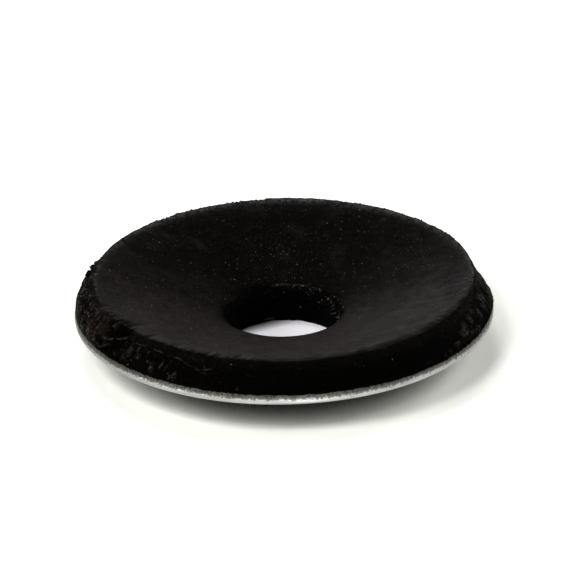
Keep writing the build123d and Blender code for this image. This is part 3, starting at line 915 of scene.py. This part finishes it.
loose_bits = bpy.data.node_groups.new("loose_bits", "GeometryNodeTree")
bit_kinds = {"Surface": "Geometry", "Where": "String", "Seed": "Int", "Finish": "Material"}
bit_inputs = [
    loose_bits.interface.new_socket(
        label, in_out="INPUT", socket_type="NodeSocket" + bit_kinds.get(label, "Float"))
    for label in ("Surface", "Where", "Per Square Metre", "Smallest", "Largest", "Thickness", "Length",
                  "Tumble", "Roughness", "Darkness", "Seed", "Finish")
]
loose_bits.interface.new_socket("Bits", in_out="OUTPUT", socket_type="NodeSocketGeometry")
given = loose_bits.nodes.new("NodeGroupInput").outputs


def chance_from(offset):
    """A number from 0 to 1 for each bit, from a seed of its own."""
    seed = sums("ADD", given["Seed"], offset)
    return wire("FunctionNodeRandomValue", {2: 0, 3: 1, "Seed": seed})[1]


# Where the bits lie, how each is turned, and how large it is
density = wire("GeometryNodeInputNamedAttribute", {0: given["Where"]})[0]
scattered = wire("GeometryNodeDistributePointsOnFaces", {
    "Mesh": given["Surface"],
    "Density": times(density, given["Per Square Metre"]),
    "Seed": given["Seed"],
})
any_spin = 6.28
furthest = wire("ShaderNodeCombineXYZ", {0: given["Tumble"], 1: given["Tumble"], 2: any_spin})[0]
spin = wire("FunctionNodeRandomValue", {0: (0, 0, 0), 1: furthest, "Seed": given["Seed"]},
            data_type="FLOAT_VECTOR")
lying = wire("FunctionNodeRotateRotation", {0: scattered["Rotation"], 1: spin[0]})
mostly_small = sums("POWER", chance_from(7), 2.5)
width = ramp(mostly_small, 0, 1, given["Smallest"], given["Largest"])
length, thickness = (times(width, given[label]) for label in ("Length", "Thickness"))
shape = wire("ShaderNodeCombineXYZ", {0: length, 1: width, 2: thickness})
lump = wire("GeometryNodeMeshUVSphere", {"Segments": 7, "Rings": 5, "Radius": 1}, loose_bits)
placed = wire("GeometryNodeInstanceOnPoints", {
    "Points": scattered["Points"],
    "Instance": lump["Mesh"],
    "Rotation": lying[0],
    "Scale": shape[0],
})

# How pale each bit is, and then its own lumpy shape and its finish
paleness = sums("POWER", chance_from(13), given["Darkness"])
toned = wire("GeometryNodeStoreNamedAttribute", {
    "Geometry": placed[0],
    "Name": "paleness_and_painted_light",
    "Value": paleness,
}, domain="INSTANCE")
real = wire("GeometryNodeRealizeInstances", {0: toned[0]})
where_now = wire("GeometryNodeInputPosition", {}, loose_bits)[0]
uneven = wire("ShaderNodeTexNoise", {"Vector": where_now, "Scale": 14000, "Detail": 2})["Color"]
centred = vectors("SUBTRACT", {0: uneven, 1: (0.5, 0.5, 0.5)})
pushed = vectors("SCALE", {0: centred, "Scale": times(given["Roughness"], given["Largest"])})
lumpy = wire("GeometryNodeSetPosition", {"Geometry": real[0], "Offset": pushed})
painted = wire("GeometryNodeSetMaterial", {"Geometry": lumpy[0], "Material": given["Finish"]})
plug(loose_bits.nodes.new("NodeGroupOutput"), {0: painted[0]})


def shed(name, *wanted):
    """Scatters loose bits over the seal, with a value for each input, and keeps them as a plain piece."""
    piece = add_object(name, seal_rubber.data)
    modifier = piece.modifiers.new("loose_bits", "NODES")
    modifier.node_group = loose_bits
    for socket, value in zip(bit_inputs[1:], wanted):
        modifier[socket.identifier] = value
    bpy.context.view_layer.update()
    bits = bpy.data.meshes.new_from_object(piece.evaluated_get(bpy.context.evaluated_depsgraph_get()))
    piece.modifiers.clear()
    piece.data = bits
    bits.name = name
    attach(piece, "root")


crumb_finish, tree, shader, place = finish_for("loose_rubber")
crumb = noise(place, 9000, 3)
pale = ramp(carried(tree, "paleness_and_painted_light"), 0.35, 1)
dark = blend(ramp(crumb, 0.35, 0.65), (0.0007, 0.0005, 0.0004, 1), (0.0075, 0.0056, 0.0046, 1))
plug(shader, {
    "Base Color": blend(pale, dark, (0.1, 0.094, 0.088, 1)),
    "Roughness": ramp(crumb, 0.3, 0.7, 0.5, 0.7),
    "IOR": 1.08,
    "Normal": bumped(crumb, 0.000012),
})

dust_finish, tree, shader, place = finish_for("settled_dust")
kind = noise(place, 5000)
grey = blend(carried(tree, "paleness_and_painted_light"), (0.008, 0.007, 0.006, 1), (0.12, 0.112, 0.104, 1))
plug(shader, {
    "Base Color": blend(ramp(kind, 0.5, 0.7, 0, 0.6), grey, (0.05, 0.04, 0.03, 1)),
    "Roughness": 0.8,
    "Specular IOR Level": 0.1,
    "Normal": bumped(kind, 0.00001),
})

# Where they lie, how many to the square metre, and their smallest and largest size. Then their shape, how
# far they tumble, how rough and how dark they are, and their seed.
shed("rubber_crumbs", "where_crumbs", 90e6, 0.016 * mm, 0.085 * mm, 0.6, 1.3, any_spin, 1.0, 3.0, 5,
     crumb_finish)
shed("settled_dust", "where_dust", 8e6, 0.010 * mm, 0.038 * mm, 0.4, 2.4, 0.4, 0.5, 3.5, 9, dust_finish)
shed("fine_lint", "where_dust", 1.2e6, 0.007 * mm, 0.018 * mm, 0.6, 13.0, 0.15, 1.5, 1.0, 4, dust_finish)
for mask in ("where_crumbs", "where_dust"):
    seal_rubber.data.attributes.remove(seal_rubber.data.attributes[mask])

# ---- Floor, light and camera ----
# A white table under the washer, soft round lamps on every side and one overhead, and a long lens.
table_half = 0.16
corners = [(x * table_half, y * table_half, 0) for x, y in ((-1, -1), (1, -1), (1, 1), (-1, 1))]
floor_mesh = bpy.data.meshes.new("table_top")
floor_mesh.from_pydata(corners, [], [(0, 1, 2, 3)])
table_top = add_object("table_top", floor_mesh)


def seen_directly(tree):
    """1 where the camera looks, straight or in a reflection, and 0 for light thrown on other things."""
    path = wire("ShaderNodeLightPath", {}, tree)
    mirrored = sums("MAXIMUM", path["Is Glossy Ray"], path["Is Transmission Ray"])
    return sums("MAXIMUM", path["Is Camera Ray"], mirrored)


# The table is painted darker where little open sky reaches it, as painted shade round the washer. Inside the
# bore it is painted a little cooler, as painted cooler light, and its far side carries a painted shadow of
# the wall.
table_finish, tree, shader, place = finish_for("white_table")
black = (0, 0, 0, 1)
shade_begins, shade_ends, most_lit = -0.0043, -0.0027, 0.87
open_sky = wire("ShaderNodeAmbientOcclusion", {"Distance": 0.007}, tree, samples=32)["AO"]
past_bore = sums("GREATER_THAN", vectors("LENGTH", {0: place}), metal_bore_radius * mm)
towards_front = vectors("DOT_PRODUCT", {0: place, 1: (0.515, -0.857, 0)})
bore_shade = ramp(towards_front, shade_begins, shade_ends, 0, most_lit)
shade = times(ramp(open_sky, 0.085, 0.3), sums("MAXIMUM", past_bore, bore_shade))
white = blend(past_bore, (0.95, 0.932, 0.975, 1), (0.95, 0.956, 0.892, 1))
added_white = blend(past_bore, (0.42, 0.411, 0.433, 1), (0.42, 0.424, 0.402, 1))
plug(shader, {"Base Color": blend(shade, black, white), "Roughness": 0.9, "Specular IOR Level": 0})
added = blend(times(seen_directly(tree), shade), black, added_white)
paler = wire("ShaderNodeBsdfDiffuse", {"Color": added})
both = wire("ShaderNodeAddShader", {0: shader.outputs[0], 1: paler[0]})
below = wire("ShaderNodeNewGeometry", {}, tree)["Backfacing"]
clear = wire("ShaderNodeBsdfTransparent", {}, tree)[0]
one_sided = wire("ShaderNodeMixShader", {0: below, 1: both[0], 2: clear})
plug(tree.nodes["Material Output"], {"Surface": one_sided[0]})
table_top.data.materials.append(table_finish)

world = bpy.data.worlds.new("studio")
bpy.context.scene.world = world
world.use_nodes = True
tree = world.node_tree
brightness = ramp(seen_directly(tree), 0, 1, 0.05, 1)
plug(tree.nodes["Background"], {"Color": (1, 1, 1, 1), "Strength": brightness})

# Each lamp: bearing and height in degrees, how wide it looks, and how much it lights the table alone.
lamps = (
    ("key_lamp", 240, 50, 9, 0.26),
    ("left_lamp", 210, 30, 9, 0.135),
    ("far_left_lamp", 180, 30, 9, 0.1),
    ("right_lamp", 30, 30, 9, 0.11),
    ("far_right_lamp", 0, 28, 9, 0.08),
    ("top_lamp", 110, 72, 12, 0.215),
    ("front_lamp", 280, 15, 12, 0.065),
    ("back_lamp", 96, 15, 9, 0.022),
)
lamp_distance = 0.4
for name, bearing, height, spread, share in lamps:
    bearing, height = radians(bearing), radians(height)
    light = bpy.data.lights.new(name, "AREA")
    light.shape = "DISK"
    light.size = 2 * lamp_distance * tan(radians(spread))
    light.energy = share * pi * pi * lamp_distance ** 2 / sin(height)
    lamp = add_object(name, light)
    towards = Vector((cos(bearing) * cos(height), sin(bearing) * cos(height), sin(height)))
    lamp.location = towards * lamp_distance
    lamp.rotation_euler = towards.to_track_quat("Z", "Y").to_euler()

view_down = radians(25.17)
view_roll = radians(1.187)
view_distance = 0.256
aim_right, aim_up = -0.0002409, -0.0043437
forward = Vector((0, cos(view_down), -sin(view_down)))
level_up = Vector((0, sin(view_down), cos(view_down)))
right = Vector((1, 0, 0)) * cos(view_roll) - level_up * sin(view_roll)
up = Vector((1, 0, 0)) * sin(view_roll) + level_up * cos(view_roll)
camera_data = bpy.data.cameras.new("camera")
camera_data.lens = 208.21875
camera_data.sensor_width = 36
camera_data.clip_start = 0.001
camera_data.clip_end = 20
camera = add_object("camera", camera_data)
camera_place = Matrix((right, up, -forward)).transposed().to_4x4()
camera_place.translation = right * -aim_right + up * -aim_up - forward * view_distance
camera.matrix_world = camera_place
bpy.context.scene.camera = camera
bpy.context.scene.view_settings.view_transform = "Standard"
